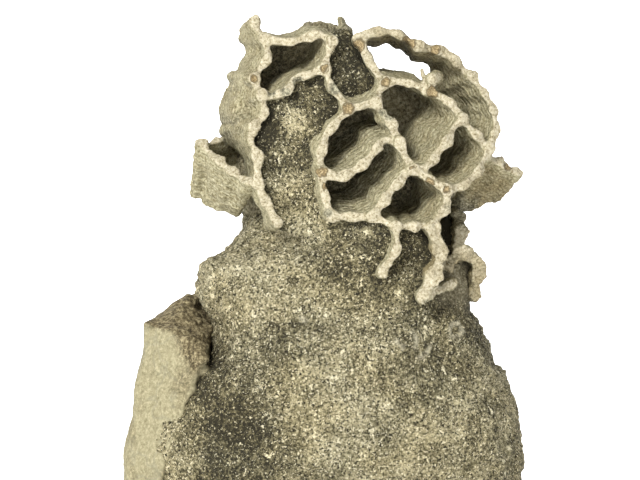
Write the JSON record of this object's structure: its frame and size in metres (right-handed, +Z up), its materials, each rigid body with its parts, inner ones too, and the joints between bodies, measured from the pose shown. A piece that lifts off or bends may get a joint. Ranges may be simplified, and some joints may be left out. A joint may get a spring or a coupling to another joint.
{
  "type": "fossil coral head",
  "caption": "Weathered chain coral fossil: winding walls of linked tubes around open and rock-filled pockets, on a lump of grey limestone with a paler broken block.",
  "frame": {"origin": "on the flat base, near the middle of it", "axes": "+Z up out of the base; -Y is the way the weathered coral face looks; +X is to the right when that face is looked at"},
  "size_m": [0.0609, 0.0356, 0.0759],
  "materials": {
    "coral_calcite": "rough weathered calcite, cream on the rims and darker inside the pockets",
    "limestone": "rough speckled grey limestone, pale cream where freshly broken"
  },
  "bodies": {
    "root": {"coral_walls": "coral_calcite", "limestone_matrix": "limestone"}
  },
  "joints": []
}
